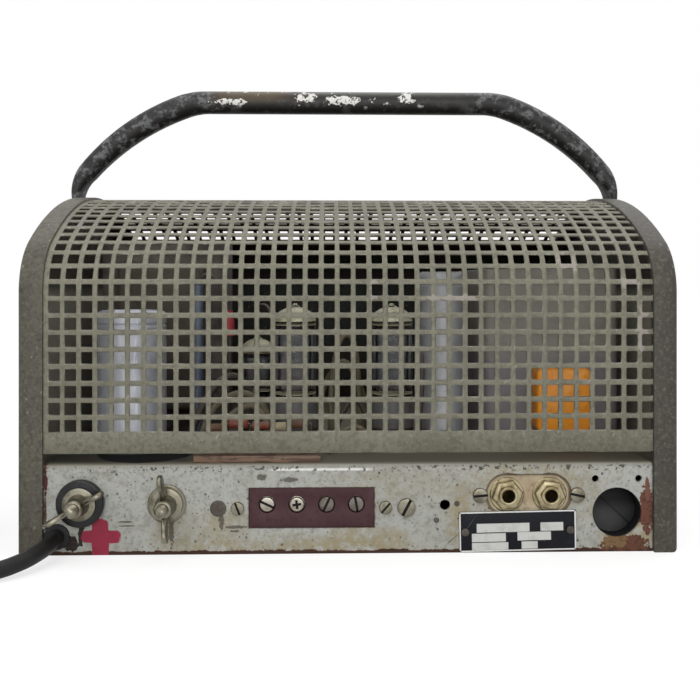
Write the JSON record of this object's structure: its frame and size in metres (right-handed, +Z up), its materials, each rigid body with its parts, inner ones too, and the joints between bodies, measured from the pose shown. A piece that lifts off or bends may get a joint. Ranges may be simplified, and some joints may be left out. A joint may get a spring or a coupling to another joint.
{
  "type": "monoblock valve amplifier",
  "caption": "Portable valve amplifier in a steel case with a perforated arched cover, end cheeks, bent tube handle, wing-nut battery terminals, screw terminals and jack sockets.",
  "frame": {"origin": "middle of the case's footprint on the floor", "axes": "+Z up, +X to the right as seen from the terminal panel, which faces -Y"},
  "size_m": [0.4825, 0.3029, 0.2548],
  "materials": {
    "case_hammertone": "grey-olive hammertone paint, worn at the edges",
    "panel_paint": "pale grey paint, chipped and rusty along the lower edge",
    "handle_paint": "black paint worn to grey metal",
    "bright_metal": "aged nickel plating",
    "dull_metal": "dull zinc",
    "black_moulding": "black bakelite",
    "brown_board": "brown bonded board",
    "tan_board": "tan bonded board",
    "type_plate": "black plate with a white border, blank",
    "selector_grey": "dark grey moulding",
    "lead_rubber": "black rubber",
    "plug_moulding": "black bakelite with metal pins",
    "silver_can": "bare drawn aluminium",
    "grey_can": "light grey paint",
    "box_paint": "grey paint",
    "core_steel": "stacked laminations",
    "winding": "varnished paper over the winding",
    "valve_glass": "clear glass",
    "orange_case": "orange case",
    "knob_moulding": "dark bakelite",
    "lamp_lens": "red lens in a metal bezel"
  },
  "bodies": {
    "amplifier": {"chassis": "panel_paint", "bottom_plate": "dull_metal", "left_cheek": "case_hammertone", "right_cheek": "case_hammertone", "cheek_screws": "dull_metal", "front_grille": "case_hammertone", "top_grille": "case_hammertone", "back_sheet": "case_hammertone", "handle": "handle_paint", "handle_bolts": "dull_metal", "battery_insulator": "black_moulding", "plus_stud": "bright_metal", "minus_stud": "bright_metal", "terminal_board": "brown_board", "panel_screws": "bright_metal", "panel_rivets": "dull_metal", "jack_plate": "tan_board", "left_jack": "bright_metal", "right_jack": "bright_metal", "jack_nuts": "bright_metal", "jack_screws": "bright_metal", "type_plate": "type_plate", "selector_body": "selector_grey", "lead_grommet": "lead_rubber", "mains_lead": "lead_rubber", "mains_lead_coil": "lead_rubber", "lead_tie": "lead_rubber", "mains_plug": "plug_moulding", "transformer_core": "core_steel", "transformer_box": "box_paint", "output_core": "core_steel", "output_winding": "winding", "silver_can": "silver_can", "grey_can": "grey_can", "left_output_valve": "valve_glass", "right_output_valve": "valve_glass", "first_valve": "valve_glass", "valve_sockets": "black_moulding", "orange_capacitor": "orange_case", "board_strip": "tan_board", "potentiometers": "dull_metal", "switch_body": "dull_metal", "pilot_lamp": "lamp_lens"},
    "plus_washer": {"plus_washer": "bright_metal"},
    "plus_wing_nut": {"plus_wing_nut": "bright_metal"},
    "minus_washer": {"minus_washer": "bright_metal"},
    "minus_wing_nut": {"minus_wing_nut": "bright_metal"},
    "selector_drum": {"selector_drum": "selector_grey"},
    "switch_lever": {"switch_lever": "bright_metal"},
    "volume_knob": {"volume_knob": "knob_moulding"},
    "tone_knob": {"tone_knob": "knob_moulding"},
    "mixer_knob": {"mixer_knob": "knob_moulding"},
    "clamp_ring_1": {"clamp_ring_1": "bright_metal"},
    "clamp_ring_2": {"clamp_ring_2": "bright_metal"},
    "clamp_ring_3": {"clamp_ring_3": "bright_metal"},
    "clamp_ring_4": {"clamp_ring_4": "bright_metal"},
    "terminal_screw_1": {"terminal_screw_1": "bright_metal"},
    "terminal_screw_2": {"terminal_screw_2": "bright_metal"},
    "terminal_screw_3": {"terminal_screw_3": "bright_metal"},
    "terminal_screw_4": {"terminal_screw_4": "bright_metal"}
  },
  "joints": [
    {"name": "plus_washer_slide", "type": "slide", "parent": "amplifier", "child": "plus_washer", "axis": [0, -1, 0], "range_m": [0, 0.004]},
    {"name": "plus_nut_turn", "type": "hinge", "parent": "plus_washer", "child": "plus_wing_nut", "pos_m": [-0.134, -0.122, 0.0263], "axis": [0, -1, 0], "range_deg": [0, 1440]},
    {"name": "minus_washer_slide", "type": "slide", "parent": "amplifier", "child": "minus_washer", "axis": [0, -1, 0], "range_m": [0, 0.004]},
    {"name": "minus_nut_turn", "type": "hinge", "parent": "minus_washer", "child": "minus_wing_nut", "pos_m": [-0.0915, -0.122, 0.0255], "axis": [0, -1, 0], "range_deg": [0, 1440]},
    {"name": "clamp_1_slide", "type": "slide", "parent": "amplifier", "child": "clamp_ring_1", "axis": [0, -1, 0], "range_m": [0, 0.0014]},
    {"name": "terminal_screw_1_turn", "type": "hinge", "parent": "clamp_ring_1", "child": "terminal_screw_1", "pos_m": [-0.04185, -0.114, 0.0245], "axis": [0, -1, 0], "range_deg": [0, 720]},
    {"name": "clamp_2_slide", "type": "slide", "parent": "amplifier", "child": "clamp_ring_2", "axis": [0, -1, 0], "range_m": [0, 0.0014]},
    {"name": "terminal_screw_2_turn", "type": "hinge", "parent": "clamp_ring_2", "child": "terminal_screw_2", "pos_m": [-0.02695, -0.114, 0.0245], "axis": [0, -1, 0], "range_deg": [0, 720]},
    {"name": "clamp_3_slide", "type": "slide", "parent": "amplifier", "child": "clamp_ring_3", "axis": [0, -1, 0], "range_m": [0, 0.0014]},
    {"name": "terminal_screw_3_turn", "type": "hinge", "parent": "clamp_ring_3", "child": "terminal_screw_3", "pos_m": [-0.01205, -0.114, 0.0245], "axis": [0, -1, 0], "range_deg": [0, 720]},
    {"name": "clamp_4_slide", "type": "slide", "parent": "amplifier", "child": "clamp_ring_4", "axis": [0, -1, 0], "range_m": [0, 0.0014]},
    {"name": "terminal_screw_4_turn", "type": "hinge", "parent": "clamp_ring_4", "child": "terminal_screw_4", "pos_m": [0.00285, -0.114, 0.0245], "axis": [0, -1, 0], "range_deg": [0, 720]},
    {"name": "selector_turn", "type": "hinge", "parent": "amplifier", "child": "selector_drum", "pos_m": [0.1345, -0.102, 0.0198], "axis": [0, -1, 0], "range_deg": [0, 300]},
    {"name": "volume_knob_turn", "type": "hinge", "parent": "amplifier", "child": "volume_knob", "pos_m": [-0.09, 0.126, 0.024], "axis": [0, 1, 0], "range_deg": [0, 270]},
    {"name": "tone_knob_turn", "type": "hinge", "parent": "amplifier", "child": "tone_knob", "pos_m": [-0.04, 0.126, 0.024], "axis": [0, 1, 0], "range_deg": [0, 270]},
    {"name": "mixer_knob_turn", "type": "hinge", "parent": "amplifier", "child": "mixer_knob", "pos_m": [0.01, 0.126, 0.024], "axis": [0, 1, 0], "range_deg": [0, 270]},
    {"name": "switch_throw", "type": "hinge", "parent": "amplifier", "child": "switch_lever", "pos_m": [0.07, 0.116, 0.024], "axis": [1, 0, 0], "range_deg": [0, 30]}
  ],
  "couplings": [
    {"joint": "plus_nut_turn", "follows": "plus_washer_slide", "rad_per_m": 6283.2},
    {"joint": "minus_nut_turn", "follows": "minus_washer_slide", "rad_per_m": 6283.2},
    {"joint": "terminal_screw_1_turn", "follows": "clamp_1_slide", "rad_per_m": 8976},
    {"joint": "terminal_screw_2_turn", "follows": "clamp_2_slide", "rad_per_m": 8976},
    {"joint": "terminal_screw_3_turn", "follows": "clamp_3_slide", "rad_per_m": 8976},
    {"joint": "terminal_screw_4_turn", "follows": "clamp_4_slide", "rad_per_m": 8976}
  ]
}
